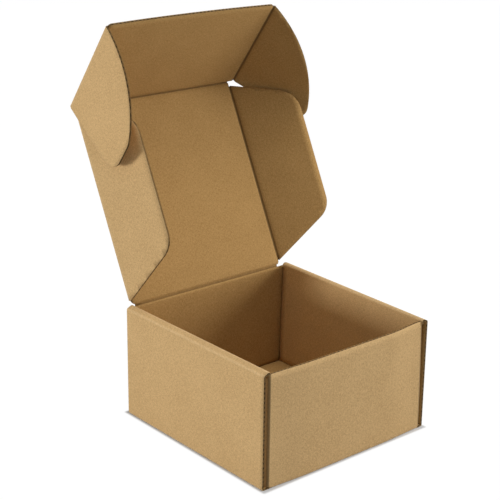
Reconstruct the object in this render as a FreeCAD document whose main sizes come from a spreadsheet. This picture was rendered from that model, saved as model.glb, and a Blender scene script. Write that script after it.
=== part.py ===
import FreeCAD, Part
import math
import os
import re

import Sketcher

# A corrugated mailer box, roll-end front-tuck style, folded from one die-cut blank and standing
# open. Millimetres and degrees. X runs to the right along the front wall, Y to the back, Z up,
# and the origin is the middle of the base where it rests. The tray is one folded solid. The lid,
# its tuck flap, its side flaps and the two ears turn at creases, so each is a plate of its own.

Vector = FreeCAD.Vector
X, Y, Z = Vector(1, 0, 0), Vector(0, 1, 0), Vector(0, 0, 1)

# The driving dimensions: alias, value and what it measures
SIZES = [
    ("board", 1.6, "thickness of the E-flute board"),
    ("liner", 0.25, "thickness of each liner"),
    ("medium", 0.3, "thickness of the fluted medium"),
    ("flute_pitch", 3.3, "crest to crest of the flutes"),
    ("flute_margin", 2.0, "solid board beside the outermost flute"),
    ("crush", 3.0, "length of flute crushed shut beside a crease"),
    ("tray_width", 150.0, "over the outer side walls"),
    ("tray_depth", 151.5, "over the front and back walls"),
    ("wall_height", 81.4, "front wall, and back wall to the lid crease"),
    ("side_height", 79.9, "outer side wall up to its roll-over crease"),
    ("strip_slope", 25.0, "rise of the roll-over strip towards the inside"),
    ("slip", 0.3, "play between panels that slide past each other"),
    ("tab_length", 58.0, "corner tab, front to back"),
    ("tab_lift", 0.6, "corner tab above the base panel"),
    ("tab_drop", 0.9, "corner tab below the roll-over crease"),
    ("inner_lift", 0.4, "inner side wall above the base panel"),
    ("lock_width", 20.0, "locking tab of an inner side wall"),
    ("lock_offset", 40.0, "locking tab from the middle of the wall"),
    ("lock_play", 0.5, "slot around a locking tab"),
    ("lock_inset", 0.3, "locking tab above the underside of the base"),
    ("crease_play", 0.3, "plate edge from the crease line that it turns about"),
    ("mitre_flat", 0.2, "square part of the edges at the lid crease"),
    ("lid_inset", 5.5, "lid flap crease from the outer face of the side wall"),
    ("lid_short", 5.1, "tuck crease short of the tray's front face, with the lid shut"),
    ("lid_corner", 3.0, "radius of the relief at each end of the lid crease"),
    ("lid_open", 116.0, "lid from its closed position"),
    ("ear_offset", 4.2, "ear crease outside the lid flap crease"),
    ("tuck_short", 0.8, "tuck flap's free edge above the ground, with the lid shut"),
    ("tuck_corner", 3.0, "radius of the tuck flap's free corners"),
    ("tuck_fold", 62.5, "tuck flap from the plane of the lid"),
    ("flap_depth", 49.0, "lid side flap from its crease to its free edge"),
    ("flap_root_back", 3.8, "lid crease to the flap's root"),
    ("flap_back", 32.1, "lid crease to the flap's back corner"),
    ("flap_front", 20.7, "tuck crease to the flap's front corner"),
    ("flap_root_front", 2.8, "tuck crease to the flap's far root"),
    ("flap_back_radius", 17.0, "rounding of the flap's back corner"),
    ("flap_front_radius", 20.0, "rounding of the flap's front corner"),
    ("left_flap_fold", 107.0, "left side flap from the plane of the lid"),
    ("right_flap_fold", 32.0, "right side flap from the plane of the lid"),
    ("ear_root", 0.8, "tuck crease to the ear's root"),
    ("ear_top", 1.2, "ear's far end short of the tuck flap's free edge"),
    ("ear_shoulder_radius", 20.0, "rounding between an ear's tip and its long edge"),
    ("left_ear_reach", 60.0, "left ear's tip from its crease"),
    ("left_ear_drop", 5.5, "left ear's tip past the tuck crease"),
    ("left_shoulder_reach", 60.0, "left ear's long edge, where it starts, from the ear's crease"),
    ("left_shoulder", 54.6, "left ear's long edge, where it starts, from the tuck flap's free edge"),
    ("left_ear_arc", 79.5, "radius of the left ear's long edge"),
    ("left_tip_radius", 12.5, "rounding of the left ear's tip"),
    ("left_ear_fold", 94.0, "left ear from the plane of the tuck flap"),
    ("right_ear_reach", 65.8, "right ear's tip from its crease"),
    ("right_ear_drop", 13.5, "right ear's tip past the tuck crease"),
    ("right_shoulder_reach", 63.6, "right ear's long edge, where it starts, from the ear's crease"),
    ("right_shoulder", 80.1, "right ear's long edge, where it starts, from the tuck flap's free edge"),
    ("right_ear_arc", 139.0, "radius of the right ear's long edge"),
    ("right_tip_radius", 8.0, "rounding of the right ear's tip"),
    ("right_ear_fold", 38.0, "right ear from the plane of the tuck flap"),
]
ALIASES = {alias for alias, value, note in SIZES}

doc = FreeCAD.newDocument("mailer_box")
sheet = doc.addObject("Spreadsheet::Sheet", "Sizes")
for row, (alias, value, note) in enumerate(SIZES, start=1):
    sheet.set(f"A{row}", str(value))
    sheet.setAlias(f"A{row}", alias)
    sheet.set(f"B{row}", note)
doc.recompute()


# Reading and binding sizes


def bound(text):
    """Return an expression with each alias in it pointing at the sheet."""
    return re.sub("[a-z_]+", lambda word: f"Sizes.{word[0]}" if word[0] in ALIASES else word[0], text)


def size(text):
    """Return the value of an expression of the sheet's aliases."""
    return float(sheet.evalExpression(bound(text)))


def place(item, x, y, z):
    """Bind where an object stands. Its turn is left as it is."""
    for axis, text in zip("xyz", (x, y, z)):
        item.setExpression(f"Placement.Base.{axis}", bound(text))


def turned(along_x, along_y):
    """Return the turn that takes a local X and Y to the two given directions."""
    return FreeCAD.Rotation(along_x, along_y, along_x.cross(along_y), "XYZ")


# Solids that the tray is folded from


def box(name, corner, spans):
    """Make a box from its lowest corner and its three spans."""
    item = doc.addObject("Part::Box", name)
    for side, text in zip(("Length", "Width", "Height"), spans):
        item.setExpression(side, bound(text))
    place(item, *corner)
    return item


def fold(name, pivot, first, second, length, sweep="90"):
    """Make the round outside of a fold: a sector of board about its inner line.

    The sector turns from the direction first towards second, and runs along their cross product.
    """
    item = doc.addObject("Part::Cylinder", name)
    item.setExpression("Radius", bound("board"))
    item.setExpression("Height", bound(length))
    item.setExpression("Angle", bound(sweep))
    item.Placement.Rotation = turned(first, second)
    place(item, *pivot)
    return item


def fuse(name, items):
    """Join solids into one."""
    item = doc.addObject("Part::MultiFuse", name)
    item.Shapes = items
    item.Refine = False
    return item


def cut(name, base, tool):
    """Take one solid from another."""
    item = doc.addObject("Part::Cut", name)
    item.Base = base
    item.Tool = tool
    return item


def mirrored(name, source, normal):
    """Mirror a solid in the plane through the origin with the given normal."""
    item = doc.addObject("Part::Mirroring", name)
    item.Source = source
    item.Normal = normal
    return item


# Plates, drawn flat: X out from the crease, Y along it, the inner face on Z = 0


def pin(sketch, geometry, end, x, y):
    """Bind a sketch point to a pair of expressions."""
    for kind, text in (("DistanceX", x), ("DistanceY", y)):
        index = sketch.addConstraint(Sketcher.Constraint(kind, -1, 1, geometry, end, size(text)))
        sketch.setExpression(f"Constraints[{index}]", bound(text))


def outline(body, corners, arc_radius=None):
    """Draw a closed outline through the corners. The last side is an arc if it has a radius."""
    plane = next(item for item in body.Origin.OriginFeatures if item.Role == "XY_Plane")
    sketch = body.newObject("Sketcher::SketchObject", f"{body.Name}_outline")
    sketch.AttachmentSupport = [(plane, "")]
    sketch.MapMode = "FlatFace"
    points = [Vector(size(x), size(y), 0) for x, y in corners]
    for first, last in zip(points, points[1:]):
        sketch.addGeometry(Part.LineSegment(first, last), False)
    start, end = points[-1], points[0]
    if arc_radius is None:
        sketch.addGeometry(Part.LineSegment(start, end), False)
    else:
        middle = (start + end) / 2
        radius = size(arc_radius)
        half_chord = (end - start) / 2
        outward = Vector(middle.x, 0, 0).normalize()
        bulge = half_chord.cross(Z).normalize()
        bulge = bulge if bulge.dot(outward) > 0 else -bulge
        sagitta = radius - math.sqrt(radius ** 2 - half_chord.Length ** 2)
        sketch.addGeometry(Part.Arc(start, middle + bulge * sagitta, end), False)
    last = len(points) - 1
    for index in range(last):
        pin(sketch, index, 1, *corners[index])
    for index in range(last - 1):
        sketch.addConstraint(Sketcher.Constraint("Coincident", index, 2, index + 1, 1))
    pin(sketch, last - 1, 2, *corners[last])
    ends = ends_of(sketch, last, points[-1])
    sketch.addConstraint(Sketcher.Constraint("Coincident", last - 1, 2, last, ends[0]))
    sketch.addConstraint(Sketcher.Constraint("Coincident", 0, 1, last, ends[1]))
    if arc_radius is not None:
        index = sketch.addConstraint(Sketcher.Constraint("Radius", last, size(arc_radius)))
        sketch.setExpression(f"Constraints[{index}]", bound(arc_radius))
    return sketch


def ends_of(sketch, geometry, start):
    """Return which end of a side lies at start, and which at the other end."""
    return (1, 2) if sketch.getPoint(geometry, 1).distanceToPoint(start) < 1e-6 else (2, 1)


def plate(name, corners, roundings=(), arc_radius=None):
    """Pad an outline to the board's thickness and round the corners named in roundings."""
    body = doc.addObject("PartDesign::Body", name)
    pad = body.newObject("PartDesign::Pad", f"{name}_board")
    pad.Profile = outline(body, corners, arc_radius)
    pad.Reversed = True
    pad.setExpression("Length", bound("board"))
    doc.recompute()
    feature = pad
    for number, (corner, radius) in enumerate(roundings, start=1):
        x, y = (size(text) for text in corner)
        edges = [f"Edge{index}" for index, edge in enumerate(feature.Shape.Edges, start=1)
                 if all(math.hypot(v.X - x, v.Y - y) < 1e-4 for v in edge.Vertexes)]
        rounding = body.newObject("PartDesign::Fillet", f"{name}_corner{number}")
        rounding.Base = (feature, edges)
        rounding.setExpression("Radius", bound(radius))
        body.Tip = rounding
        doc.recompute()
        feature = rounding
    return body


def flutes(name, width, run, turn=None, corner=("0", "0", "0")):
    """Make the channels that the fluted medium leaves open in a board of the given width.

    They lie side by side along X and run along Y, between the liners of a board under Z = 0.
    Each pitch holds one channel under the inner liner and one over the outer liner.
    """
    pitch, board, liner = size("flute_pitch"), size("board"), size("liner")
    foot = size("medium")
    count = int((size(width) - 2 * size("flute_margin")) / pitch - 0.5)
    start = (size(width) - (count + 0.5) * pitch) / 2
    upper, lower = -liner, liner - board
    channels = []
    for number in range(count):
        left = start + number * pitch
        for offset, base, tip in ((0, upper, lower + foot), (pitch / 2, lower, upper - foot)):
            corners = [Vector(left + offset + foot, 0, base),
                       Vector(left + offset + pitch - foot, 0, base),
                       Vector(left + offset + pitch / 2, 0, tip)]
            face = Part.Face(Part.makePolygon(corners + corners[:1]))
            channels.append(face.extrude(Y * size(run)))
    item = doc.addObject("Part::Feature", name)
    item.Shape = Part.makeCompound(channels)
    if turn:
        item.Placement.Rotation = turn
    place(item, *corner)
    return item


def mitre(name, width, y, z, turn):
    """Make the cutter of the slanting edge that lets two plates fold back about a crease."""
    item = box(name, (f"-({width}) / 2", y, z), (width, "2 * board", "4 * board"))
    item.Placement.Rotation = FreeCAD.Rotation(X, turn)
    return item


# The tray


BASE_HALF_WIDTH = "(tray_width / 2 - board)"
BASE_HALF_DEPTH = "(tray_depth / 2 - board)"
WALL_HALF_WIDTH = "(tray_width / 2 - 2 * board - slip)"
POCKET = "(board + 2 * slip)"
STRIP_RISE = f"({POCKET} * tan(strip_slope))"
SIDE_HALF_LENGTH = "(tray_depth / 2 - board - slip)"
TAB_HEIGHT = "(side_height - tab_drop - board - tab_lift)"
LID_WIDTH = "(tray_width - 2 * lid_inset)"
LID_LENGTH = "(tray_depth - lid_short)"
TUCK_WIDTH = f"({LID_WIDTH} + 2 * ear_offset)"
TUCK_LENGTH = "(wall_height - tuck_short)"


def base_panel():
    """The base, with a slot for each locking tab of the inner side walls."""
    panel = box("base_board", (f"-{BASE_HALF_WIDTH}", f"-{BASE_HALF_DEPTH}", "0"),
                (f"2 * {BASE_HALF_WIDTH}", f"2 * {BASE_HALF_DEPTH}", "board"))
    slots = []
    for side, across in (("left", f"-{BASE_HALF_WIDTH} + {POCKET} - lock_play"),
                         ("right", f"{BASE_HALF_WIDTH} - {POCKET} - board - lock_play")):
        for end, along in (("front", "-lock_offset"), ("back", "lock_offset")):
            slots.append(box(f"{side}_{end}_slot",
                             (across, f"{along} - lock_width / 2 - lock_play", "-board"),
                             ("board + 2 * lock_play", "lock_width + 2 * lock_play", "3 * board")))
    return cut("base_panel", panel, fuse("lock_slots", slots))


def front_and_back():
    """The front and back walls and the folds that join them to the base."""
    span = f"2 * {WALL_HALF_WIDTH}"
    left = f"-{WALL_HALF_WIDTH}"
    front = box("front_board", (left, "-tray_depth / 2", "board"), (span, "board", "wall_height - board"))
    back = box("back_board", (left, BASE_HALF_DEPTH, "board"),
               (span, "board", "wall_height - crease_play - board"))
    slant = mitre("back_mitre", "tray_width", f"{BASE_HALF_DEPTH} + mitre_flat",
                  "wall_height - crease_play", -45)
    return [front, cut("back_wall", back, slant),
            fold("front_fold", (left, f"-{BASE_HALF_DEPTH}", "board"), -Y, -Z, span),
            fold("back_fold", (left, BASE_HALF_DEPTH, "board"), -Z, Y, span)]


def left_tab(end, sign, first, second):
    """A corner tab of the front or back wall, with its fold, in the left side's pocket."""
    inner = f"-{WALL_HALF_WIDTH}"
    wall_face = f"{sign} * {BASE_HALF_DEPTH}"
    foot = "board + tab_lift"
    top = "wall_height" if end == "front" else "side_height"
    corner = fold(f"{end}_corner_fold", (inner, wall_face, foot), first, second, f"{top} - ({foot})")
    start = wall_face if end == "front" else f"{wall_face} - tab_length"
    tab = box(f"{end}_tab", (f"{inner} - board", start, foot),
              ("board", "tab_length", TAB_HEIGHT))
    return [corner, tab]


def left_side():
    """The left wall rolled over at the top: outer wall, sloping strip, inner wall and locks."""
    start, span = f"-{SIDE_HALF_LENGTH}", f"2 * {SIDE_HALF_LENGTH}"
    outer, inner = f"-{BASE_HALF_WIDTH}", f"-{BASE_HALF_WIDTH} + {POCKET}"
    crest = f"side_height + {STRIP_RISE}"
    foot = "board + inner_lift"
    strip = box("left_strip", (outer, start, "side_height"), (f"{POCKET} / cos(strip_slope)", span, "board"))
    rise = "rotation(vector(0; -1; 0); strip_slope)"
    strip.setExpression("Placement", bound(f"placement(vector({outer}; {start}; side_height); {rise})"))
    pieces = [
        box("left_outer", (f"{outer} - board", start, "board"), ("board", span, "side_height - board")),
        fold("left_base_fold", (outer, start, "board"), -Z, -X, span),
        fold("left_outer_crease", (outer, start, "side_height"), -X, Z, span, "90 - strip_slope"),
        strip,
        fold("left_inner_crease", (inner, SIDE_HALF_LENGTH, crest), X, Z, span, "90 + strip_slope"),
        box("left_inner", (inner, start, foot), ("board", span, f"{crest} - ({foot})")),
    ]
    for end, along in (("front", "-lock_offset"), ("back", "lock_offset")):
        pieces.append(box(f"left_{end}_lock", (inner, f"{along} - lock_width / 2", "lock_inset"),
                          ("board", "lock_width", f"{foot} - lock_inset")))
    return pieces


def tray():
    """The whole tray as one folded solid, with its flutes open at the cut edges that show."""
    side = fuse("left_half", left_side() + left_tab("front", -1, -X, -Y) + left_tab("back", 1, Y, -X))
    folded = fuse("folded_tray", [base_panel(), side, mirrored("right_half", side, X)] + front_and_back())
    channel_height = "side_height - board"
    left = flutes("left_wall_flutes", channel_height, "tray_depth + 2 * board", turned(Z, -Y),
                  (f"-{BASE_HALF_WIDTH}", "tray_depth / 2 + board", "board"))
    front = flutes("front_wall_flutes", f"2 * {WALL_HALF_WIDTH}", "wall_height", turned(-X, Z),
                   (WALL_HALF_WIDTH, f"-{BASE_HALF_DEPTH}", "board + crush"))
    opened = cut("tray_with_left_flutes", folded, left)
    opened = cut("tray_with_side_flutes", opened, mirrored("right_wall_flutes", left, X))
    return cut("tray", opened, front)


# The hinged plates


def hinged(node, carrier, base, tool, origin, axis, angle):
    """Cut a plate's edges or flutes and hang it at its crease on the plate that carries it."""
    item = cut(node, base, tool)
    own = f"placement(vector({origin}); rotation(vector({axis}); {angle}))"
    item.setExpression("Placement", bound(f"{carrier}.Placement * {own}" if carrier else own))
    return item


def lid_panel():
    """The lid, with relieved corners and a mitred edge at the back wall."""
    half, near, far = f"({LID_WIDTH} / 2 - crease_play)", "crease_play", f"{LID_LENGTH} - crease_play"
    corners = [(f"-{half}", near), (half, near), (half, far), (f"-{half}", far)]
    board = plate("lid_board", corners, [(corners[0], "lid_corner"), (corners[1], "lid_corner")])
    slant = mitre("lid_mitre", f"2 * {LID_WIDTH}", near, "-mitre_flat", -135)
    return hinged("lid_panel", None, board, slant,
                  f"0; {BASE_HALF_DEPTH}; wall_height", "1; 0; 0", "180 - lid_open")


def tuck_flap():
    """The flap at the lid's front, which tucks in behind the front wall."""
    half, near, far = f"({TUCK_WIDTH} / 2 - crease_play)", "crease_play", TUCK_LENGTH
    corners = [(f"-{half}", near), (half, near), (half, far), (f"-{half}", far)]
    board = plate("tuck_board", corners, [(corners[2], "tuck_corner"), (corners[3], "tuck_corner")])
    channels = flutes("tuck_flutes", f"2 * {half}", TUCK_LENGTH, corner=(f"-{half}", "crush", "0"))
    return hinged("tuck_flap", "lid_panel", board, channels, f"0; {LID_LENGTH}; 0", "1; 0; 0",
                  "tuck_fold")


def side_flap(side, sign):
    """A dust flap at the side of the lid."""
    near = "crease_play"
    corners = [(f"{sign} * {near}", "flap_root_back"), (f"{sign} * flap_depth", "flap_back"),
               (f"{sign} * flap_depth", f"{LID_LENGTH} - flap_front"),
               (f"{sign} * {near}", f"{LID_LENGTH} - flap_root_front")]
    board = plate(f"{side}_flap_board", corners,
                  [(corners[1], "flap_back_radius"), (corners[2], "flap_front_radius")])
    start = "0" if sign > 0 else "-flap_depth"
    channels = flutes(f"{side}_flap_flutes", "flap_depth", LID_LENGTH, corner=(start, "0", "0"))
    return hinged(f"{side}_lid_flap", "lid_panel", board, channels,
                  f"{sign} * {LID_WIDTH} / 2; 0; 0", "0; 1; 0", f"{-sign} * {side}_flap_fold")


def ear(side, sign):
    """A curved ear at the side of the tuck flap."""
    near, reach, drop = "crease_play", f"{side}_ear_reach", f"{side}_ear_drop"
    corners = [(f"{sign} * {near}", f"{TUCK_LENGTH} - ear_top"), (f"{sign} * {near}", "ear_root"),
               (f"{sign} * {reach}", f"-{drop}"),
               (f"{sign} * {side}_shoulder_reach", f"{TUCK_LENGTH} - {side}_shoulder")]
    roundings = [(corners[2], f"{side}_tip_radius"), (corners[3], "ear_shoulder_radius")]
    board = plate(f"{side}_ear_board", corners, roundings, f"{side}_ear_arc")
    start = "0" if sign > 0 else f"-{reach}"
    run = f"2 * {drop} + {TUCK_LENGTH}"
    channels = flutes(f"{side}_ear_flutes", reach, run, corner=(start, f"-2 * {drop}", "0"))
    return hinged(f"{side}_ear", "tuck_flap", board, channels,
                  f"{sign} * {TUCK_WIDTH} / 2; 0; 0", "0; 1; 0", f"{-sign} * {side}_ear_fold")


nodes = [tray(), lid_panel(), tuck_flap()]
for side, sign in (("left", -1), ("right", 1)):
    nodes += [side_flap(side, sign), ear(side, sign)]
doc.recompute()

# Check every object and write each node's solid


for item in doc.Objects:
    if "Invalid" in item.State or "Error" in item.State:
        raise RuntimeError(f"{item.Label} did not recompute: {item.State}")

os.makedirs("parts", exist_ok=True)
for node in nodes:
    shape = node.Shape
    if shape.isNull() or not shape.isValid() or len(shape.Solids) != 1:
        raise RuntimeError(f"{node.Label} is not one valid solid")
    shape.exportStep(f"parts/{node.Label}.step")
    print(node.Label, round(shape.Volume), "mm3", len(shape.Faces), "faces")
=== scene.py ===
"""Looks of an open corrugated mailer box: fluted board, creases, kraft paper and the studio around it.

Every piece of board is three sheets of paper, two flat liners and a fluted medium between them, so
its cut edges show real flutes. The sheets start flat, are trimmed to their outline, and are then
folded into place. Lengths in the box's own classes are millimetres, and meshes are in metres.
"""

import logging
import math
from dataclasses import dataclass
from enum import Enum
from typing import Any, Callable, Sequence

import bmesh
import bpy
from mathutils import Matrix, Vector

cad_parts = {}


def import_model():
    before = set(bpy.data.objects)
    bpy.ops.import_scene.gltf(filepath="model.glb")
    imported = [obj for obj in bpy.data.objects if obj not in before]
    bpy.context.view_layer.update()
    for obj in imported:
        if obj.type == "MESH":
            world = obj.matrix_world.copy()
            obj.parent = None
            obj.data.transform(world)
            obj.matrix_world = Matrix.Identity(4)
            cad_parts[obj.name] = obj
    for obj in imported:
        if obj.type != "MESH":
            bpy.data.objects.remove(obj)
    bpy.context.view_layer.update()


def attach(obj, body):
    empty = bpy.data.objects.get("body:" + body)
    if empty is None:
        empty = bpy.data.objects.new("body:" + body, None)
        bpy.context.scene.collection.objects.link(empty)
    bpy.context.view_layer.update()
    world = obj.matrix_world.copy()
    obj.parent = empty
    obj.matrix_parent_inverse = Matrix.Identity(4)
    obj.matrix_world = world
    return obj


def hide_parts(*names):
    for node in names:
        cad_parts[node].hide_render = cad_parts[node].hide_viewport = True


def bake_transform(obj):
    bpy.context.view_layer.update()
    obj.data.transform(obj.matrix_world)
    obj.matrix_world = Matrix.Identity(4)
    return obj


LOG = logging.getLogger("mailer_box")
MM = 0.001
Point2 = tuple[float, float]
Span = tuple[float, float]
Colour = tuple[float, float, float]
Shape = Callable[[float, float, float], Vector]
Finishes = Sequence[bpy.types.Material]
X, Y, Z = Vector((1, 0, 0)), Vector((0, 1, 0)), Vector((0, 0, 1))

# Grid lines of the flat sheets
COARSE = 6.0
MEDIUM = 5.0
FINE = 4.0
CREASE_LINES = (-2.4, -1.4, -0.8, -0.4, 0, 0.4, 0.8, 1.4, 2.4)
CREASE_ZONE = 3.0
CLOSEST_LINES = 0.12
CLOSEST_FLUTE_LINES = 0.02
CREASE_STEPS = 10
CORNER_STEPS = 10
SHOULDER_STEPS = 8
ARC_STEPS = 24

# Depth below a panel's inner face at which the lid crease's mitre starts, and its reach
MITRE_START = 0.1
MITRE_REACH = 4


class Grain(Enum):
    """The way the flutes run in a sheet laid flat."""

    ALONG_U = "flutes run along u"
    ALONG_V = "flutes run along v"


class Side(Enum):
    """The left and right sides of the box, as the sign of X."""

    LEFT = -1
    RIGHT = 1


@dataclass(frozen=True)
class Stock:
    """The E-flute board that the whole box is cut from.

    The crush is the share of the thickness that a crease takes away, and its reach is how far from
    the crease it fades. The steps are the grid lines in one flute.
    """

    thickness: float = 1.6
    liner: float = 0.25
    pitch: float = 3.3
    crush: float = 0.4
    crush_reach: float = 1.1
    steps: int = 5


STOCK = Stock()


def smooth(x: float, low: float, high: float) -> float:
    """Return 0 below low, 1 above high and a soft step between."""
    t = min(1.0, max(0.0, (x - low) / (high - low)))
    return t * t * (3 - 2 * t)


def spread(low: float, high: float, step: float, creases: Sequence[float] = ()) -> list[float]:
    """Return evenly spaced grid lines with closer ones beside creases.

    Args:
        low: the first line.
        high: the last line.
        step: the widest spacing.
        creases: lines that get close neighbours.

    Returns:
        The lines in rising order.
    """
    count = max(1, math.ceil((high - low) / step))
    lines = [low + (high - low) * i / count for i in range(count + 1)]
    for crease in creases:
        lines += [crease + offset for offset in CREASE_LINES]
    lines = sorted(line for line in lines if low <= line <= high)
    kept = [lines[0]]
    for line in lines[1:]:
        if line - kept[-1] > CLOSEST_LINES:
            kept.append(line)
    kept[-1] = high
    return kept


def sparse(lines: Sequence[float], creases: Sequence[float]) -> list[float]:
    """Thin out grid lines away from the creases.

    Args:
        lines: the lines in rising order.
        creases: the creases that keep all of their neighbours.

    Returns:
        Every second line, all of those beside a crease, and both ends.
    """
    kept = [line for i, line in enumerate(lines[:-1])
            if not i % 2 or any(abs(line - crease) < CREASE_ZONE for crease in creases)]
    return [*kept, lines[-1]]


class Path:
    """A line in a plane, made of straights and bends to the right."""

    def __init__(self, start: Point2, heading: float) -> None:
        """Start the line.

        Args:
            start: the first point.
            heading: the first direction in degrees.
        """
        self.spans: list[tuple[float, float, float, float, float]] = []
        self.length = 0.0
        self.bends: list[float] = []
        self._end = start
        self._turn = math.radians(heading)

    def straight(self, length: float) -> "Path":
        """Go on straight.

        Args:
            length: how far.

        Returns:
            The same path.
        """
        self.spans.append((self.length, self._end[0], self._end[1], self._turn, 0.0))
        x, y = self._end
        self._end = (x + length * math.cos(self._turn), y + length * math.sin(self._turn))
        self.length += length
        return self

    def bend(self, radius: float, degrees: float) -> "Path":
        """Bend to the right, and note the middle of the bend as a crease.

        Args:
            radius: the bend's radius.
            degrees: how far it turns.

        Returns:
            The same path.
        """
        self.spans.append((self.length, self._end[0], self._end[1], self._turn, radius))
        angle = math.radians(degrees)
        self.bends.append(self.length + radius * angle / 2)
        x, y = self._end
        a, b = self._turn, self._turn - angle
        self._end = (x + radius * (math.sin(a) - math.sin(b)), y - radius * (math.cos(a) - math.cos(b)))
        self._turn = b
        self.length += radius * angle
        return self

    def at(self, s: float) -> tuple[float, float, float, float]:
        """Find a point of the path.

        Args:
            s: its distance along the path.

        Returns:
            The point, and the direction to its right.
        """
        begin, x, y, a, radius = self.spans[0]
        for span in self.spans:
            if span[0] <= s + 1e-9:
                begin, x, y, a, radius = span
        run = s - begin
        if radius:
            b = a - run / radius
            x += radius * (math.sin(a) - math.sin(b))
            y -= radius * (math.cos(a) - math.cos(b))
            a = b
        else:
            x += run * math.cos(a)
            y += run * math.sin(a)
        return x, y, math.sin(a), -math.cos(a)


@dataclass
class Sheet:
    """One panel of board: how it is cut while flat and the shape that it is folded to.

    The shape takes u, v and a height above the board's middle, towards the inside of the folds.
    The marks say how strongly the creases across u and across v are painted on the paper: a plus mark scuffs
    the outer liner and paints a highlight on it and paints shade on the inner one, and a minus mark does the
    opposite.
    """

    us: Sequence[float]
    vs: Sequence[float]
    shape: Shape
    grain: Grain
    creases_u: Sequence[float] = ()
    creases_v: Sequence[float] = ()
    mark: float = 1.0
    mark_v: float = 1.0
    outline: Sequence[Point2] = ()
    windows: Sequence[tuple[float, float, float, float]] = ()

    def near_creases(self, u: float, v: float, weight_u: float = 1.0, weight_v: float = 1.0) -> float:
        """Return how near a point is to the creases.

        Args:
            u: the point's place across the creases at fixed u.
            v: the point's place across the creases at fixed v.
            weight_u: the weight of the first.
            weight_v: the weight of the second.

        Returns:
            1 on a crease of full weight, 0 far from all, and less by a crease of minus weight.
        """
        total = weight_u * sum(math.exp(-(((u - c) / STOCK.crush_reach) ** 2)) for c in self.creases_u)
        total += weight_v * sum(math.exp(-(((v - c) / STOCK.crush_reach) ** 2)) for c in self.creases_v)
        return min(1.0, total)

    def flat(self, us: Sequence[float], vs: Sequence[float]) -> bmesh.types.BMesh:
        """Make the flat sheet.

        Args:
            us: its grid lines across u.
            vs: its grid lines across v.

        Returns:
            The grid, cut to the outline and the windows.
        """
        bm = bmesh.new()
        bmesh.ops.create_grid(bm, x_segments=len(us) - 1, y_segments=len(vs) - 1, size=1.0)
        for vert in bm.verts:
            i = round((vert.co.x + 1) / 2 * (len(us) - 1))
            j = round((vert.co.y + 1) / 2 * (len(vs) - 1))
            vert.co = (us[i], vs[j], 0)
        for a, b in zip(self.outline, [*self.outline[1:], *self.outline[:1]]):
            outward = Vector((b[1] - a[1], a[0] - b[0], 0))
            if outward.length > 1e-6:
                self.slice(bm, Vector((*a, 0)), outward, True)
        for u0, u1, v0, v1 in self.windows:
            for co, no in (((u0, 0, 0), X), ((u1, 0, 0), X), ((0, v0, 0), Y), ((0, v1, 0), Y)):
                self.slice(bm, Vector(co), no, False)
            middles = ((face, face.calc_center_median()) for face in bm.faces)
            inside = [face for face, middle in middles if u0 < middle.x < u1 and v0 < middle.y < v1]
            bmesh.ops.delete(bm, geom=inside, context="FACES")
        return bm

    @staticmethod
    def slice(bm: bmesh.types.BMesh, point: Vector, normal: Vector, clear: bool) -> None:
        """Cut a flat sheet along a line, and drop what lies beyond it if asked."""
        geom = [*bm.verts, *bm.edges, *bm.faces]
        bmesh.ops.bisect_plane(bm, geom=geom, dist=1e-5, plane_co=point, plane_no=normal, clear_outer=clear)

    def flute_lines(self) -> tuple[list[float], list[float]]:
        """Find the medium's grid lines, close ones across the flutes and fewer along them.

        Returns:
            The lines at fixed u and those at fixed v.
        """
        across = self.us if self.grain is Grain.ALONG_V else self.vs
        step = STOCK.pitch / STOCK.steps
        first, last = math.ceil(across[0] / step), math.floor(across[-1] / step)
        fine = [across[0], *(i * step for i in range(first, last + 1)), across[-1]]
        fine = [a for a, b in zip(fine, [*fine[1:], math.inf]) if b - a > CLOSEST_FLUTE_LINES]
        if self.grain is Grain.ALONG_V:
            return fine, sparse(self.vs, self.creases_v)
        return sparse(self.us, self.creases_u), fine

    def layer(self, height: Callable[[float, float, float], float], face: int) -> bmesh.types.BMesh:
        """Make one sheet of paper, folded to its shape.

        Args:
            height: gives the height off the board's middle from u, v and the local thickness.
            face: 1 for the liner inside the folds, -1 for the one outside and 0 for the fluted
                medium, which has close grid lines across the flutes.

        Returns:
            The sheet in metres, with its pattern coordinates and its crease paint: scuffs with a painted
            highlight on one liner and painted shade on the other.
        """
        us, vs = (self.us, self.vs) if face else self.flute_lines()
        bm = self.flat(us, vs)
        pattern = bm.loops.layers.uv.new("UVMap")
        crease_wear_and_shading = bm.verts.layers.float.new("crease_wear_and_shading")
        for polygon in bm.faces:
            polygon.material_index = 2 + 2 * face
            polygon.smooth = True
            for loop in polygon.loops:
                u, v = loop.vert.co.x * MM, loop.vert.co.y * MM
                loop[pattern].uv = (u, v) if self.grain is Grain.ALONG_V else (v, u)
        for vert in bm.verts:
            u, v = vert.co.x, vert.co.y
            thick = STOCK.thickness * (1 - STOCK.crush * self.near_creases(u, v))
            # Plus on this liner paints scuffs with a highlight along the crease, minus paints shade in the
            # crease's valley.
            vert[crease_wear_and_shading] = -face * self.near_creases(u, v, self.mark, self.mark_v)
            sunk = (STOCK.thickness - thick) / 2
            vert.co = self.shape(u, v, height(u, v, thick) - sunk) * MM
        return bm

    def layers(self) -> list[bmesh.types.BMesh]:
        """Make the three sheets of paper.

        Returns:
            The inner liner, the outer liner and the medium.
        """

        def wave(u: float, v: float, thick: float) -> float:
            """Return the medium's height in the flutes."""
            across = u if self.grain is Grain.ALONG_V else v
            return (thick / 2 - 1.5 * STOCK.liner) * math.sin(2 * math.pi * across / STOCK.pitch)

        return [
            self.layer(lambda u, v, thick: thick / 2 - STOCK.liner / 2, 1),
            self.layer(lambda u, v, thick: STOCK.liner / 2 - thick / 2, -1),
            self.layer(wave, 0),
        ]


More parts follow.
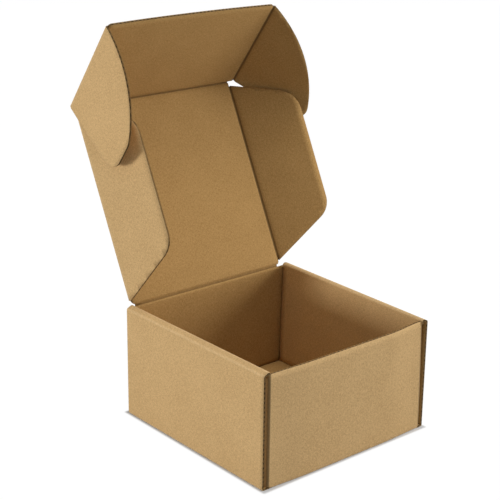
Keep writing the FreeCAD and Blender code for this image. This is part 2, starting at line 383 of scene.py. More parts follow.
def make_piece(name: str, sheets: Sequence[Sheet], finishes: Finishes) -> bpy.types.Object:
    """Make one object from sheets of board and give the paper its thickness.

    Args:
        name: the piece's name.
        sheets: the panels and folds it is made of.
        finishes: the outer liner, the medium and the inner liner, each followed by the cut edge.

    Returns:
        The object, at the origin.
    """
    whole = bmesh.new()
    for sheet in sheets:
        for bm in sheet.layers():
            part = bpy.data.meshes.new("part")
            bm.to_mesh(part)
            bm.free()
            whole.from_mesh(part)
            bpy.data.meshes.remove(part)
    mesh = bpy.data.meshes.new(name)
    whole.to_mesh(mesh)
    whole.free()
    for finish in finishes:
        mesh.materials.append(finish)
    piece = bpy.data.objects.new(name, mesh)
    bpy.context.scene.collection.objects.link(piece)
    paper = piece.modifiers.new("paper", "SOLIDIFY")
    paper.thickness = STOCK.liner * MM
    paper.offset = 0
    paper.material_offset_rim = 1
    solid = bpy.data.meshes.new_from_object(piece.evaluated_get(bpy.context.evaluated_depsgraph_get()))
    piece.modifiers.clear()
    piece.data = solid
    solid.name = name
    bpy.data.meshes.remove(mesh)
    LOG.info("%s: %d sheets, %d faces", name, 3 * len(sheets), len(solid.polygons))
    return piece


@dataclass(frozen=True)
class Axes:
    """The place of a panel: its crease line's start, outward, along the crease, and its inner normal."""

    origin: Vector
    out: Vector
    along: Vector
    inner: Vector

    def point(self, x: float, y: float, z: float) -> Vector:
        """Return the point at local coordinates, z from the inner face."""
        return self.origin + x * self.out + y * self.along + z * self.inner

    def side(self, side: Side, half_width: float, fold: float) -> "Axes":
        """Place a panel that is hinged on this one's side.

        Args:
            side: which side.
            half_width: the crease's distance from this panel's middle.
            fold: the fold in degrees.

        Returns:
            The panel's axes.
        """
        c, s = math.cos(math.radians(fold)), math.sin(math.radians(fold))
        across = side.value * self.out
        return Axes(self.origin + half_width * across, c * across + s * self.inner, self.along,
                    c * self.inner - s * across)

    def end(self, length: float, fold: float) -> "Axes":
        """Place a panel that is hinged on this one's far end.

        Args:
            length: the crease's distance from this panel's origin.
            fold: the fold in degrees.

        Returns:
            The panel's axes.
        """
        c, s = math.cos(math.radians(fold)), math.sin(math.radians(fold))
        return Axes(self.point(0, length, 0), self.out, c * self.along + s * self.inner,
                    c * self.inner - s * self.along)


@dataclass(frozen=True)
class Crease:
    """A fold between two panels that move about it.

    Each half is a panel's direction away from the crease and its inner normal.
    """

    name: str
    parent: str
    child: str
    pivot: Vector
    along: Vector
    first: tuple[Vector, Vector]
    second: tuple[Vector, Vector]
    span: Span
    grain: Grain
    mark: float = 1.0
    gap: float = 0.3
    mitre: float = 0.0

    def edge(self, half: tuple[Vector, Vector], depth: float) -> Vector:
        """Return where a panel's edge is at a depth below its inner face."""
        direction, normal = half
        return direction * (self.gap + self.mitre * max(0.0, depth - MITRE_START)) - normal * depth

    def sheet(self) -> Sheet:
        """Make the board that bridges the two panels.

        Returns:
            One sheet, round from the first panel's edge to the second's.
        """
        first_normal, second_normal = self.first[1], self.second[1]
        lean = (first_normal + second_normal) / (1 + first_normal.dot(second_normal))

        def shape(u: float, v: float, h: float) -> Vector:
            """Place a point of the round.

            Args:
                u: its share of the way from one panel to the other.
                v: its place along the crease.
                h: its height off the board's middle.

            Returns:
                The point.
            """
            depth = STOCK.thickness / 2 - h
            a, c = self.edge(self.first, depth), self.edge(self.second, depth)
            b = -lean * depth
            return self.pivot + self.along * v + a * (1 - u) ** 2 + 2 * b * u * (1 - u) + c * u * u

        us = [i / CREASE_STEPS for i in range(CREASE_STEPS + 1)]
        vs = spread(*self.span, COARSE)
        return Sheet(us, vs, shape, self.grain, creases_u=(0.0, 0.5, 1.0), mark=self.mark)

    def build(self, finishes: Finishes) -> bpy.types.Object:
        """Make the crease's board, in place.

        Args:
            finishes: the board's materials.

        Returns:
            The crease's object.
        """
        piece = make_piece(self.name, [self.sheet()], finishes)
        middle = STOCK.thickness / 2
        ends = [(self.pivot + self.along * sum(self.span) / 2 + self.edge(half, middle)) * MM
                for half in (self.first, self.second)]
        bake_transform(piece)
        return piece


def rounded(corners: Sequence[Point2], radii: Sequence[float]) -> list[Point2]:
    """Return a convex outline with its corners rounded.

    Args:
        corners: the corners in order.
        radii: a radius for each, or 0.

    Returns:
        The outline's points, anticlockwise.
    """
    points: list[Point2] = []
    for i, (corner, radius) in enumerate(zip(corners, radii)):
        p = Vector(corner)
        a = (Vector(corners[i - 1]) - p).normalized()
        b = (Vector(corners[(i + 1) % len(corners)]) - p).normalized()
        if not radius:
            points.append(tuple(p))
            continue
        half = a.angle(b) / 2
        centre = p + (a + b).normalized() * radius / math.sin(half)
        first, last = p + a * radius / math.tan(half) - centre, p + b * radius / math.tan(half) - centre
        for k in range(CORNER_STEPS + 1):
            points.append(tuple(centre + first.slerp(last, k / CORNER_STEPS).normalized() * radius))
    area = sum(a[0] * b[1] - b[0] * a[1] for a, b in zip(points, [*points[1:], *points[:1]]))
    return points if area > 0 else points[::-1]


def ear_edge(tip: Point2, shoulder: Point2, top: Point2, radius: float, fillet: float) -> list[Point2]:
    """Return the long edge of an ear, from its rounded shoulder to its far end.

    Args:
        tip: the corner before the shoulder.
        shoulder: where the straight from the tip meets the long arc.
        top: the arc's other end.
        radius: the arc's radius.
        fillet: the shoulder's rounding.

    Returns:
        The points after the tip, without the top.
    """
    a, b, c = Vector(tip), Vector(shoulder), Vector(top)
    half = (c - b) / 2
    outward = Vector((-half.y, half.x)).normalized()
    outward = outward if outward.x > 0 else -outward
    centre = (b + c) / 2 - outward * math.sqrt(radius ** 2 - half.length_squared)
    along = (b - a).normalized()
    inward = Vector((-along.y, along.x))
    start = a + inward * fillet - centre
    reach = start.dot(along) ** 2 - start.length_squared + (radius - fillet) ** 2
    hub = a + inward * fillet + along * (-start.dot(along) + math.sqrt(reach))
    first = -inward
    second = (hub - centre).normalized()
    points = [tuple(hub + first.slerp(second, k / SHOULDER_STEPS).normalized() * fillet)
              for k in range(SHOULDER_STEPS + 1)]
    last = (c - centre).normalized()
    return points + [tuple(centre + second.slerp(last, k / ARC_STEPS).normalized() * radius)
                     for k in range(1, ARC_STEPS)]


@dataclass
class Tray:
    """The folded tray: base, front and back walls with corner tabs, and the rolled side walls.

    The recess and the inset are how far the front wall's ends sit back and in, with more at the
    right end's top, and the splay is how far the right side stands out at its back top.
    """

    width: float = 150.0
    depth: float = 151.5
    height: float = 81.4
    side_height: float = 79.9
    strip_slope: float = 25.0
    slip: float = 0.3
    crease_gap: float = 0.3
    fold: float = 0.4
    tab_length: float = 58.0
    tab_rise: float = 0.6
    tab_top: float = 79.0
    tab_fade: Span = (0.5, 3.0)
    lock_place: float = 40.0
    lock_half: float = 10.0
    lock_slip: float = 0.5
    lock_edge: float = 69.1
    lock_depth: float = 0.4
    slot_reach: float = 2.6
    inner_wall_ends: Span = (-70.3, 73.0)
    inner_wall_head: float = 2.0
    recess: float = 1.3
    recess_top: float = 1.5
    recess_fade: Span = (35.0, 70.0)
    recess_end: float = -50.0
    inset: float = 1.9
    inset_top: float = 0.6
    inset_fade: Span = (50.0, 71.0)
    inset_near: Span = (0.5, 4.5)
    splay: float = 3.4
    splay_fade: Span = (68.0, 71.0)
    loose_power: float = 1.6
    loose_front: float = 66.0

    def __post_init__(self) -> None:
        """Work out the inner lines of the folds."""
        t = STOCK.thickness
        self.base_x = self.width / 2 - t
        self.base_y = self.depth / 2 - t
        self.wall_x = self.base_x - t - self.slip
        self.pocket = t + 2 * self.slip
        self.side_y = self.base_y - self.slip

    def rise(self, z: float) -> float:
        """Return how much of the looseness at the top applies at a height."""
        return max(0.0, z / self.height) ** self.loose_power

    def front(self, p: Vector) -> Vector:
        """Set the front wall's ends back and in, as its folds sit loosely in the side pockets.

        Args:
            p: a point of the front wall, its tabs or its bottom fold.

        Returns:
            Where the point sits.
        """
        side = 1 if p.x > 0 else -1
        loose = self.rise(p.z) if side > 0 else 0.0
        face = -self.base_y
        near = 1 - smooth(p.y, face - self.inset_near[0], face + self.inset_near[1])
        back = (self.recess + self.recess_top * loose) * smooth(abs(p.x), *self.recess_fade)
        back *= 1 - smooth(p.y, face, self.recess_end)
        inward = (self.inset + self.inset_top * loose) * smooth(abs(p.x), *self.inset_fade) * near
        return Vector((p.x - side * inward, p.y + back, p.z))

    def splayed(self, p: Vector) -> Vector:
        """Stand the right side out towards the back, most at its top."""
        along = (p.y + self.side_y) / (2 * self.side_y)
        return Vector((p.x + self.splay * smooth(p.x, *self.splay_fade) * along * self.rise(p.z), p.y, p.z))

    def base(self) -> Sheet:
        """Make the base with its folds up into the front and back walls.

        Returns:
            The base, with its four locking slots open.
        """
        t = STOCK.thickness
        r, more = self.fold, t / 2 - self.fold
        path = Path((self.base_y + t / 2, t), -90).straight(more).bend(r, 90)
        path.straight(2 * (self.base_y + more)).bend(r, 90).straight(more)

        def shape(u: float, v: float, h: float) -> Vector:
            """Place a point of the base.

            Args:
                u: its place from back to front.
                v: its place from left to right.
                h: its height off the board's middle.

            Returns:
                The point, set back with the front wall near the front fold.
            """
            y, z, ny, nz = path.at(u)
            p = Vector((v, y + h * ny, z + h * nz))
            return p.lerp(self.front(p), smooth(-p.y, self.loose_front, self.base_y))

        middle = more + r * math.pi / 2 + self.base_y + more
        half = self.lock_half + self.lock_slip
        edges = (-self.wall_x, -self.lock_edge), (self.lock_edge, self.wall_x)
        slots = [(middle - along - half, middle - along + half, *edge)
                 for along in (-self.lock_place, self.lock_place) for edge in edges]
        return Sheet(spread(0, path.length, MEDIUM, path.bends), spread(-self.wall_x, self.wall_x, COARSE),
                     shape, Grain.ALONG_U, creases_u=path.bends, windows=slots)

    def end_wall(self, front: bool) -> Sheet:
        """Make the front or back wall with the tab folded back at each of its corners.

        Args:
            front: whether it is the front wall.

        Returns:
            The wall, with the back one mitred at the lid's crease.
        """
        t = STOCK.thickness
        sign = -1 if front else 1
        start = (-sign * (self.wall_x + t / 2), sign * (self.base_y - self.tab_length))
        r, more = self.fold, t / 2 - self.fold
        path = Path(start, 90 * sign).straight(self.tab_length + more).bend(r, 90)
        path.straight(2 * (self.wall_x + more)).bend(r, 90).straight(self.tab_length + more)
        top = self.height if front else self.height - self.crease_gap
        first, last = path.bends

        def shape(u: float, v: float, h: float) -> Vector:
            """Place a point of the wall or of its tabs, which stand a little short.

            Args:
                u: its place from one tab's end to the other's.
                v: its height up the flat sheet.
                h: its height off the board's middle.

            Returns:
                The point.
            """
            x, y, nx, ny = path.at(u)
            tab = smooth(max(first - u, u - last), *self.tab_fade)
            low, high = t + self.tab_rise * tab, top - (top - self.tab_top) * tab
            z = low + (high - low) * v / top
            if not front:
                z -= max(0.0, t / 2 - h - MITRE_START) * smooth(v, top - MITRE_REACH, top) * (1 - tab)
            p = Vector((x + h * nx, y + h * ny, z))
            return self.front(p) if front else self.splayed(p)

        creases_v = [0.0] if front else [0.0, top]
        # The front wall's minus mark paints shade on the outer liner of its end folds, set back in the side
        # pockets, and scuffs with a highlight on its inner liner.
        return Sheet(spread(0, path.length, MEDIUM, path.bends), spread(0, top, MEDIUM, creases_v), shape,
                     Grain.ALONG_V, creases_u=path.bends, creases_v=creases_v,
                     mark=-1.0 if front else 1.0, mark_v=0.25)

    def side_wall(self, side: Side) -> Sheet:
        """Make a side wall: base fold, outer wall, sloping strip, inner wall and locking tabs.

        Args:
            side: which side.

        Returns:
            The wall in one sheet.
        """
        t = STOCK.thickness
        slope = math.radians(self.strip_slope)
        crest = self.side_height + self.pocket * math.tan(slope)
        r, more = self.fold, t / 2 - self.fold
        outer = more * math.tan((math.pi / 2 - slope) / 2)
        inner = more * math.tan((math.pi / 2 + slope) / 2)
        path = Path((-self.lock_edge, t / 2), 180).straight(self.base_x - self.lock_edge + more).bend(r, 90)
        path.straight(self.side_height - t + more + outer).bend(r, 90 - self.strip_slope)
        path.straight(self.pocket / math.cos(slope) + outer + inner).bend(r, 90 + self.strip_slope)
        path.straight(crest - self.slip + inner)

        def shape(u: float, v: float, h: float) -> Vector:
            """Place a point of the side wall.

            Args:
                u: its place from the base's edge to the locking tabs.
                v: its place from front to back.
                h: its height off the board's middle.

            Returns:
                The point.
            """
            x, z, nx, nz = path.at(u)
            p = Vector((-side.value * (x + h * nx), v, z + h * nz))
            return self.splayed(p) if side is Side.RIGHT else p

        y = self.side_y
        near, far = self.lock_place - self.lock_half, self.lock_place + self.lock_half
        foot = path.length - (t + self.lock_depth - self.slip)
        head = path.length - crest + self.inner_wall_head
        first, last = self.inner_wall_ends
        windows = [(-1.0, self.slot_reach, a - self.lock_slip, b + self.lock_slip)
                   for a, b in ((-far, -near), (near, far))]
        windows += [(foot, path.length + 1, a, b) for a, b in ((-y - 1, -far), (-near, near), (far, y + 1))]
        windows += [(head, path.length + 1, a, b) for a, b in ((-y - 1, first), (last, y + 1))]
        return Sheet(spread(0, path.length, COARSE, path.bends), spread(-y, y, COARSE), shape, Grain.ALONG_V,
                     creases_u=path.bends, windows=windows)

    def build(self, finishes: Finishes) -> bpy.types.Object:
        """Make the tray, riding on its own body in place of its plain solid.

        Args:
            finishes: the board's materials.

        Returns:
            The tray's object.
        """
        sheets = [self.base(), self.end_wall(True), self.end_wall(False),
                  self.side_wall(Side.LEFT), self.side_wall(Side.RIGHT)]
        piece = make_piece("tray_board", sheets, finishes)
        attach(piece, "tray")
        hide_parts("tray")
        return piece


@dataclass(frozen=True)
class EarCut:
    """How one ear of the tuck flap is cut, from its crease and from the tuck crease."""

    tip: Point2
    shoulder: Point2
    tip_radius: float
    long_radius: float


@dataclass
class Lid:
    """The lid panel, its side flaps, the tuck flap and its ears, all from the same sheet."""

    tray: Tray
    open_angle: float = 116.0
    half_width: float = 69.5
    length: float = 146.4
    corner_radius: float = 3
    tuck_fold: float = 62.5
    tuck_half: float = 73.7
    tuck_length: float = 80.6
    tuck_bow: float = 1.2
    flap_reach: float = 49.0
    flap_root: Span = (3.8, 143.6)
    flap_edge: Span = (32.1, 125.7)
    flap_radii: Span = (17, 20)
    ear_root: float = 0.8
    ear_top: float = 79.4
    ear_shoulder_radius: float = 20.0
    lid_crease_half: float = 66.5
    tuck_crease_half: float = 68.6
    flap_crease: Span = (4.2, 143.2)
    ear_crease: Span = (1.2, 79.0)
    gap: float = 0.3

    def __post_init__(self) -> None:
        """Work out where the lid and the tuck flap are, and how the ears differ."""
        a = math.radians(self.open_angle)
        pivot = Vector((0, self.tray.base_y, self.tray.height))
        along = Vector((0, -math.cos(a), math.sin(a)))
        self.lid = Axes(pivot, X, along, X.cross(along))
        self.tuck = self.lid.end(self.length, self.tuck_fold)
        flap_fold = {Side.LEFT: 107.0, Side.RIGHT: 32.0}
        ear_fold = {Side.LEFT: 94.0, Side.RIGHT: 38.0}
        self.flap = {side: self.lid.side(side, self.half_width, flap_fold[side]) for side in Side}
        self.ear = {side: self.tuck.side(side, self.tuck_half, ear_fold[side]) for side in Side}
        self.ear_cut = {
            Side.LEFT: EarCut((60.0, -5.5), (60.0, 26.0), 12.5, 79.5),
            Side.RIGHT: EarCut((65.8, -13.5), (63.6, 0.5), 8.0, 139.0),
        }

    def finish(self, piece: bpy.types.Object, node: str) -> bpy.types.Object:
        """Let a piece ride on its body in place of its plain solid.

        Args:
            piece: the piece.
            node: the body's name.

        Returns:
            The same piece.
        """
        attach(piece, node)
        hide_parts(node)
        return piece

    def flat_shape(self, axes: Axes) -> Shape:
        """Choose the shape of a flat panel.

        Args:
            axes: where the panel is.

        Returns:
            The function that places the sheet's points there.
        """

        def shape(u: float, v: float, h: float) -> Vector:
            """Return a point of the panel."""
            return axes.point(u, v, h - STOCK.thickness / 2)

        return shape

    def lid_sheet(self) -> Sheet:
        """Make the lid panel.

        Returns:
            The panel, mitred at the back wall's crease.
        """
        w, near, far = self.half_width - self.gap, self.gap, self.length - self.gap

        def shape(u: float, v: float, h: float) -> Vector:
            """Place a point of the lid panel.

            Args:
                u: its place from left to right.
                v: its distance from the back wall's crease.
                h: its height off the board's middle.

            Returns:
                The point.
            """
            depth = STOCK.thickness / 2 - h
            slant = max(0.0, depth - MITRE_START) * (1 - smooth(v, near, near + MITRE_REACH))
            return self.lid.point(u, v + slant, -depth)

        corners = [(-w, near), (w, near), (w, far), (-w, far)]
        radii = (self.corner_radius, self.corner_radius, 0, 0)
        return Sheet(spread(-w, w, COARSE, (-w, w)), spread(near, far, COARSE, (near, far)), shape,
                     Grain.ALONG_V, creases_u=(-w, w), creases_v=(near, far), mark_v=0.25,
                     outline=rounded(corners, radii))

    def tuck_sheet(self) -> Sheet:
        """Make the tuck flap.

        Returns:
            The flap, with a slight bow along its free edge.
        """
        w, near, far = self.tuck_half - self.gap, self.gap, self.tuck_length

        def shape(u: float, v: float, h: float) -> Vector:
            """Return a point of the tuck flap."""
            bow = self.tuck_bow * (1 - (u / w) ** 2) * (v / far) ** 2
            return self.tuck.point(u, v, h - STOCK.thickness / 2 - bow)

        corners = [(-w, near), (w, near), (w, far), (-w, far)]
        radii = (0, 0, self.corner_radius, self.corner_radius)
        return Sheet(spread(-w, w, MEDIUM, (-w, w)), spread(near, far, MEDIUM, (near,)), shape,
                     Grain.ALONG_V, creases_u=(-w, w), creases_v=(near,), mark_v=0.5,
                     outline=rounded(corners, radii))

    def flap_sheet(self, side: Side) -> Sheet:
        """Make a side flap of the lid.

        Args:
            side: which side.

        Returns:
            The flap.
        """
        (low, high), reach = self.flap_root, self.flap_reach
        corners = [(self.gap, low), (reach, self.flap_edge[0]), (reach, self.flap_edge[1]), (self.gap, high)]
        return Sheet(spread(self.gap, reach, MEDIUM, (self.gap,)), spread(low, high, COARSE),
                     self.flat_shape(self.flap[side]), Grain.ALONG_V, creases_u=(self.gap,),
                     outline=rounded(corners, (0, *self.flap_radii, 0)))

    def ear_sheet(self, side: Side) -> Sheet:
        """Make an ear of the tuck flap, with its long curved edge.

        Args:
            side: which side.

        Returns:
            The ear.
        """
        cut = self.ear_cut[side]
        top = (self.gap, self.ear_top)
        edge = ear_edge(cut.tip, cut.shoulder, top, cut.long_radius, self.ear_shoulder_radius)
        corners = [top, (self.gap, self.ear_root), cut.tip, *edge]
        outline = rounded(corners, (0, 0, cut.tip_radius, *([0] * len(edge))))
        us, vs = [p[0] for p in outline], [p[1] for p in outline]
        return Sheet(spread(self.gap, max(us), FINE, (self.gap,)), spread(min(vs), max(vs), MEDIUM),
                     self.flat_shape(self.ear[side]), Grain.ALONG_V, creases_u=(self.gap,), outline=outline)

    def creases(self) -> list[Crease]:
        """Lay out the creases that the lid's panels turn about.

        Returns:
            The lid's crease, the tuck flap's, and each side's flap and ear crease.
        """
        lid, tuck = self.lid, self.tuck
        lid_span = (-self.lid_crease_half, self.lid_crease_half)
        tuck_span = (-self.tuck_crease_half, self.tuck_crease_half)
        found = [
            Crease("lid_crease", "tray", "lid_panel", lid.origin, X, (-Z, -Y), (lid.along, lid.inner),
                   lid_span, Grain.ALONG_U, mark=0.3, mitre=1.0),
            Crease("tuck_crease", "lid_panel", "tuck_flap", tuck.origin, X, (-lid.along, lid.inner),
                   (tuck.along, tuck.inner), tuck_span, Grain.ALONG_U, mark=0.7),
        ]
        for side in Side:
            word = side.name.lower()
            for kind, parent, child, base, panel, span in (
                ("flap", "lid_panel", "lid_flap", lid, self.flap[side], self.flap_crease),
                ("ear", "tuck_flap", "ear", tuck, self.ear[side], self.ear_crease),
            ):
                halves = (-side.value * base.out, base.inner), (panel.out, panel.inner)
                found.append(Crease(f"{word}_{kind}_crease", parent, f"{word}_{child}", panel.origin,
                                    panel.along, *halves, span, Grain.ALONG_V))
        return found

    def build(self, finishes: Finishes) -> list[bpy.types.Object]:
        """Make every panel and crease of the lid.

        Args:
            finishes: the board's materials.

        Returns:
            The pieces' objects.
        """
        pieces = [
            self.finish(make_piece("lid_board", [self.lid_sheet()], finishes), "lid_panel"),
            self.finish(make_piece("tuck_board", [self.tuck_sheet()], finishes), "tuck_flap"),
        ]
        for side in Side:
            word = side.name.lower()
            flap = make_piece(f"{word}_flap_board", [self.flap_sheet(side)], finishes)
            ear = make_piece(f"{word}_ear_board", [self.ear_sheet(side)], finishes)
            pieces += [self.finish(flap, f"{word}_lid_flap"), self.finish(ear, f"{word}_ear")]
        pieces += [crease.build(finishes) for crease in self.creases()]
        return pieces


class Value:
    """A shader socket that can be worked with like a number."""

    def __init__(self, paper: "Shader", socket: bpy.types.NodeSocket) -> None:
        """Wrap a socket of the given shader."""
        self.paper = paper
        self.socket = socket

    def _math(self, operation: str, *values: Any) -> "Value":
        """Add a Math node on the values."""
        return self.paper.node("ShaderNodeMath", {"operation": operation}, dict(enumerate(values)))

    def __add__(self, other: Any) -> "Value":
        """Add a value or number."""
        return self._math("ADD", self, other)

    __radd__ = __add__

    def __sub__(self, other: Any) -> "Value":
        """Take a value or number from this one."""
        return self._math("SUBTRACT", self, other)

    def __rsub__(self, other: Any) -> "Value":
        """Take this value from a number."""
        return self._math("SUBTRACT", other, self)

    def __mul__(self, other: Any) -> "Value":
        """Multiply by a value or number."""
        return self._math("MULTIPLY", self, other)

    __rmul__ = __mul__

    def __pow__(self, other: Any) -> "Value":
        """Raise to a power."""
        return self._math("POWER", self, other)

    def sine(self) -> "Value":
        """Return the sine."""
        return self._math("SINE", self)

    def step(self, low: float, high: float) -> "Value":
        """Return 0 below low, 1 above high and a smooth slope between."""
        inputs = {"Value": self, "From Min": low, "From Max": high}
        return self.paper.node("ShaderNodeMapRange", {"interpolation_type": "SMOOTHSTEP"}, inputs)


@dataclass(frozen=True)
class Pattern:
    """A soft random pattern: features per metre, octaves, their roughness and its share of the shade."""

    scale: float
    detail: float
    rough: float
    share: float = 1.0


class Shader:
    """A node tree under construction."""

    def __init__(self, owner: Any) -> None:
        """Start on the emptied tree of a material or world.

        Args:
            owner: the material or world.
        """
        owner.use_nodes = True
        self.owner = owner
        self.tree = owner.node_tree
        self.tree.nodes.clear()

    def node(self, kind: str, settings: dict[str, Any], inputs: dict[Any, Any], output: Any = 0) -> Value:
        """Add a node.

        Args:
            kind: the node's type.
            settings: its own properties, set first.
            inputs: the value or link of each socket, by name or number.
            output: the socket to return.

        Returns:
            The chosen output.
        """
        node = self.tree.nodes.new(kind)
        for key, value in settings.items():
            setattr(node, key, value)
        for key, value in inputs.items():
            if isinstance(value, Value):
                self.tree.links.new(value.socket, node.inputs[key])
            else:
                node.inputs[key].default_value = value
        return Value(self, node.outputs[output]) if len(node.outputs) else Value(self, node.inputs[0])

    def noise(self, where: Value, pattern: Pattern) -> Value:
        """Return a random pattern's value from 0 to 1."""
        inputs = {"Vector": where, "Scale": pattern.scale, "Detail": pattern.detail,
                  "Roughness": pattern.rough}
        return self.node("ShaderNodeTexNoise", {"noise_dimensions": "3D"}, inputs, "Fac")

    def mix(self, amount: Any, first: Any, second: Any) -> Value:
        """Return a mix of two colours."""
        settings = {"data_type": "RGBA", "blend_type": "MIX"}
        return self.node("ShaderNodeMix", settings, {0: amount, 6: first, 7: second}, 2)


CLOUDS = Pattern(45.0, 3.0, 0.55, 0.35)
SPECKLE = Pattern(1300.0, 3.0, 0.65, 1.6)
FIBRES = Pattern(1.0, 3.0, 0.65, 1.6)
STRANDS = Pattern(1.0, 2.0, 0.6, 1.0)
FIBRE_STRETCH = (1700.0, 520.0, 1.0)
STRAND_STRETCH = (500.0, 2400.0, 1.0)
STRAND_TURN = (0.0, 0.0, 0.5)


def tinted(colour: Colour, factor: float) -> tuple[float, ...]:
    """Return a colour made darker or lighter, up to white, with full alpha."""
    return (*(min(1.0, factor * channel) for channel in colour), 1)


@dataclass(frozen=True)
class Kraft:
    """Brown kraft paper: its colours, its fibres, how far the flutes show through, and the scuffs, painted
    highlight and painted shade along its creases.
    """

    name: str
    light: Colour
    dark: Colour
    # Colour of scuffed creases, lightened further as a painted highlight.
    worn_highlight: Colour
    washboard: float = 0.06
    tooth: float = 0.25
    roughness: float = 0.9
    fleck: float = 0.35
    hair: float = 0.3
    # Shares of the crease paint: scuffs with a painted highlight on convex creases, and painted shade in
    # crease valleys.
    scuff_and_highlight_share: float = 0.25
    valley_shade_share: float = 0.75
    bump_strength: float = 0.5
    bump_distance: float = 0.0003

    def make(self) -> bpy.types.Material:
        """Mix the paper's colours and its relief.

        Returns:
            The material.
        """
        s = Shader(bpy.data.materials.new(self.name))
        where = s.node("ShaderNodeTexCoord", {}, {}, "Object")
        flat = s.node("ShaderNodeTexCoord", {}, {}, "UV")
        crease_wear_and_shading = s.node("ShaderNodeAttribute", {"attribute_name": "crease_wear_and_shading"}, {}, "Fac")
        clouds = s.noise(where, CLOUDS)
        speckle = s.noise(where, SPECKLE)
        pulled = s.node("ShaderNodeMapping", {}, {"Vector": flat, "Scale": FIBRE_STRETCH})
        fibre = s.noise(pulled, FIBRES)
        turned = {"Vector": flat, "Scale": STRAND_STRETCH, "Rotation": STRAND_TURN}
        strands = s.noise(s.node("ShaderNodeMapping", {}, turned), STRANDS)
        shade = (clouds - 0.5) * CLOUDS.share + (speckle - 0.5) * SPECKLE.share
        shade = shade + (fibre - 0.5) * FIBRES.share + (strands - 0.5) * STRANDS.share
        colour = s.mix((shade + 0.5).step(0.0, 1.0), tinted(self.dark, 1), tinted(self.light, 1))
        colour = s.mix(fibre.step(0.66, 0.80) * self.fleck, colour, tinted(self.dark, 0.55))
        colour = s.mix(strands.step(0.68, 0.80) * self.hair, colour, tinted(self.light, 1.35))
        # Convex creases get scuffs plus a painted highlight; valley creases get painted shade, a dark line
        # where the crease folds in.
        scuff_and_highlight = crease_wear_and_shading.step(0.55, 1.0) * (speckle * 0.8 + 0.35)
        colour = s.mix(scuff_and_highlight * self.scuff_and_highlight_share, colour, tinted(self.worn_highlight, 1))
        painted_valley_shade = (crease_wear_and_shading * -1).step(0.4, 1.0)
        colour = s.mix(painted_valley_shade * self.valley_shade_share, colour, tinted(self.dark, 0.35))
        across = s.node("ShaderNodeSeparateXYZ", {}, {0: flat}, 0)
        ribs = (across * (2 * math.pi / (STOCK.pitch * MM))).sine()
        tooth = (fibre - 0.5) * self.tooth + (strands - 0.5) * self.tooth + ribs * self.washboard
        relief = {"Strength": self.bump_strength, "Distance": self.bump_distance, "Height": tooth}
        rough = (speckle - 0.5) * 0.1 + self.roughness
        body = {"Base Color": colour, "Roughness": rough, "Normal": s.node("ShaderNodeBump", {}, relief),
                "Specular IOR Level": 0.2}
        shader = s.node("ShaderNodeBsdfPrincipled", {}, body)
        s.node("ShaderNodeOutputMaterial", {}, {"Surface": shader})
        return s.owner


def board_finishes() -> list[bpy.types.Material]:
    """Make the board's materials.

    Returns:
        The outer liner, the fluted medium and the inner liner, each followed by the cut edge.
    """
    outer = Kraft("outer_liner", (0.68, 0.455, 0.215), (0.48, 0.305, 0.13), (0.76, 0.57, 0.33))
    # The inner liner is the outer liner's kraft painted darker and browner: painted shade on the box's inner
    # faces.
    inner = Kraft("inner_liner_shaded", (0.485, 0.29, 0.105), (0.335, 0.19, 0.06), (0.56, 0.37, 0.17))
    # The cut edge and the fluted medium are painted near black: painted shade inside the open flutes.
    edge = Kraft("cut_edge_shaded", (0.27, 0.17, 0.07), (0.16, 0.095, 0.035), (0.45, 0.31, 0.15), washboard=0.0)
    medium = Kraft("fluted_medium_shaded", (0.08, 0.045, 0.018), (0.05, 0.03, 0.01), (0.2, 0.13, 0.06),
                   washboard=0.0)
    cut = edge.make()
    return [finish for sheet in (outer, medium, inner) for finish in (sheet.make(), cut)]


@dataclass(frozen=True)
class Lamp:
    """A soft square light, in metres and watts."""

    name: str
    place: tuple[float, float, float]
    size: float
    power: float
    aim: tuple[float, float, float] = (0, 0, 0.1)

    def build(self) -> bpy.types.Object:
        """Hang the light and point it.

        Returns:
            The lamp's object.
        """
        light = bpy.data.lights.new(self.name, "AREA")
        light.size = self.size
        light.energy = self.power
        lamp = bpy.data.objects.new(self.name, light)
        bpy.context.scene.collection.objects.link(lamp)
        lamp.location = self.place
        lamp.rotation_euler = (Vector(self.aim) - Vector(self.place)).to_track_quat("-Z", "Y").to_euler()
        return lamp


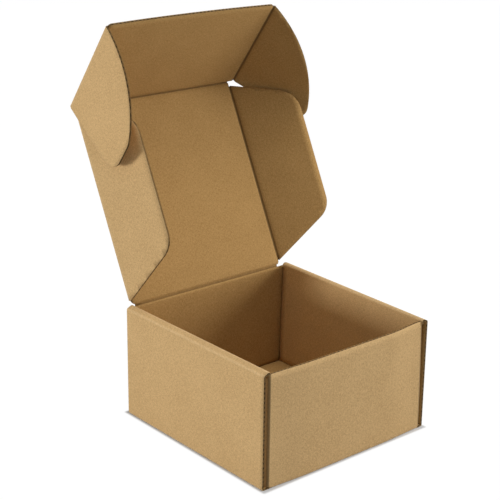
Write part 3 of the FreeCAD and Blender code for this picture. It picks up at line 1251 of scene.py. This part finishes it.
@dataclass(frozen=True)
class Studio:
    """The white floor, the light and the camera of the photograph.

    The camera's angles are in degrees, its distance and offset in millimetres, and its focal length
    in the photograph's pixels. To the eye the floor glows plain white, with a share of matt grey
    mixed in: a little everywhere, and much more in the contact shadow, which reaches a few
    millimetres from the tray. Light on its way to the box meets a duller floor.
    """

    tray: Tray
    focal_px: float = 1353.56
    frame_px: float = 500.0
    sensor: float = 36.0
    azimuth: float = -40.533
    elevation: float = 19.106
    roll: float = 0.742
    offset: tuple[float, float] = (-17.291, 121.520)
    distance: float = 971.68
    ambient: float = 0.28
    floor_half: float = 3.0
    floor_bounce: float = 0.48
    floor_shade: float = 0.6
    floor_glow: float = 1.02
    floor_matt: float = 0.02
    shadow_matt: float = 0.85
    shadow_reach: float = 2.6

    def camera(self) -> bpy.types.Object:
        """Place the camera where the photograph was taken from.

        Returns:
            The camera's object.
        """
        a, e, r = (math.radians(v) for v in (self.azimuth, self.elevation, self.roll))
        back = Vector((math.sin(a) * math.cos(e), -math.cos(a) * math.cos(e), math.sin(e)))
        level = Vector((math.cos(a), math.sin(a), 0))
        upright = level.cross(back) * -1
        right = level * math.cos(r) + upright * math.sin(r)
        up = upright * math.cos(r) - level * math.sin(r)
        place = (back * self.distance + right * self.offset[0] + up * self.offset[1]) * MM
        lens = bpy.data.cameras.new("photo_camera")
        lens.sensor_width = self.sensor
        lens.lens = self.focal_px / self.frame_px * self.sensor
        lens.clip_start = 0.01
        camera = bpy.data.objects.new("photo_camera", lens)
        camera.matrix_world = Matrix.Translation(place) @ Matrix((right, up, back)).transposed().to_4x4()
        bpy.context.scene.collection.objects.link(camera)
        bpy.context.scene.camera = camera
        return camera

    def seen(self, s: Shader) -> Value:
        """Tell the eye's rays from the light's.

        Args:
            s: the shader that asks.

        Returns:
            1 where the eye or a reflection looks, and 0 for light on its way.
        """
        eye, gloss, through = (s.node("ShaderNodeLightPath", {}, {}, f"Is {ray} Ray")
                               for ray in ("Camera", "Glossy", "Transmission"))
        return s.node("ShaderNodeMath", {"operation": "ADD", "use_clamp": True}, {0: eye + gloss, 1: through})

    def world(self) -> None:
        """Surround the box with even soft light and a white background."""
        world = bpy.data.worlds.new("studio")
        bpy.context.scene.world = world
        s = Shader(world)
        soft = s.node("ShaderNodeBackground", {}, {"Color": (1, 1, 1, 1), "Strength": self.ambient})
        plain = s.node("ShaderNodeBackground", {}, {"Color": (1, 1, 1, 1), "Strength": 1.0})
        both = s.node("ShaderNodeMixShader", {}, {0: self.seen(s), 1: soft, 2: plain})
        s.node("ShaderNodeOutputWorld", {}, {"Surface": both})

    def white_floor(self) -> bpy.types.Material:
        """Mix the floor's material.

        Returns:
            Plain white, with a contact shadow round the tray's foot.
        """
        s = Shader(bpy.data.materials.new("white_floor"))
        where = s.node("ShaderNodeTexCoord", {}, {}, "Object")
        beyond = []
        for axis, size in (("X", self.tray.width), ("Y", self.tray.depth)):
            place = s.node("ShaderNodeSeparateXYZ", {}, {0: where}, axis)
            away = s.node("ShaderNodeMath", {"operation": "ABSOLUTE"}, {0: place}) - size / 2 * MM
            beyond.append(s.node("ShaderNodeMath", {"operation": "MAXIMUM"}, {0: away, 1: 0.0}))
        distance = (beyond[0] ** 2 + beyond[1] ** 2) ** 0.5
        contact = 1 - distance.step(0.0, self.shadow_reach * MM)
        dull = s.node("ShaderNodeBsdfDiffuse", {}, {"Color": tinted((1, 1, 1), self.floor_bounce)})
        matt = s.node("ShaderNodeBsdfDiffuse", {}, {"Color": tinted((1, 1, 1), self.floor_shade)})
        glow = s.node("ShaderNodeEmission", {}, {"Color": (1, 1, 1, 1), "Strength": self.floor_glow})
        amount = contact * self.shadow_matt + self.floor_matt
        lit = s.node("ShaderNodeMixShader", {}, {0: amount, 1: glow, 2: matt})
        both = s.node("ShaderNodeMixShader", {}, {0: self.seen(s), 1: dull, 2: lit})
        s.node("ShaderNodeOutputMaterial", {}, {"Surface": both})
        return s.owner

    def floor(self) -> bpy.types.Object:
        """Lay the white floor.

        Returns:
            The floor's object.
        """
        bm = bmesh.new()
        bmesh.ops.create_grid(bm, x_segments=1, y_segments=1, size=self.floor_half)
        mesh = bpy.data.meshes.new("floor")
        bm.to_mesh(mesh)
        bm.free()
        floor = bpy.data.objects.new("floor", mesh)
        bpy.context.scene.collection.objects.link(floor)
        mesh.materials.append(self.white_floor())
        return floor

    def lamps(self) -> list[bpy.types.Object]:
        """Hang the soft lights.

        Returns:
            The lamps' objects.
        """
        lights = [
            Lamp("left_light", (-1.44, 0.42, 0.17), 0.3, 12.1),
            Lamp("key_light", (1.458, -0.947, 0.566), 0.9, 24.5),
            Lamp("top_light", (0.1, -0.1, 1.8), 0.8, 13.0),
        ]
        return [light.build() for light in lights]

    def build(self) -> None:
        """Set the whole studio."""
        bpy.context.scene.view_settings.view_transform = "Standard"
        LOG.info("set %s", self.camera().name)
        self.world()
        LOG.info("laid %s", self.floor().name)
        for lamp in self.lamps():
            LOG.info("hung %s", lamp.name)


def main() -> None:
    """Build the box and the studio in order."""
    logging.basicConfig(level=logging.INFO, format="%(name)s: %(message)s")
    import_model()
    finishes = board_finishes()
    tray = Tray()
    LOG.info("built %s", tray.build(finishes).name)
    for piece in Lid(tray).build(finishes):
        LOG.info("built %s", piece.name)
    Studio(tray).build()


if __name__ == "__main__":
    main()
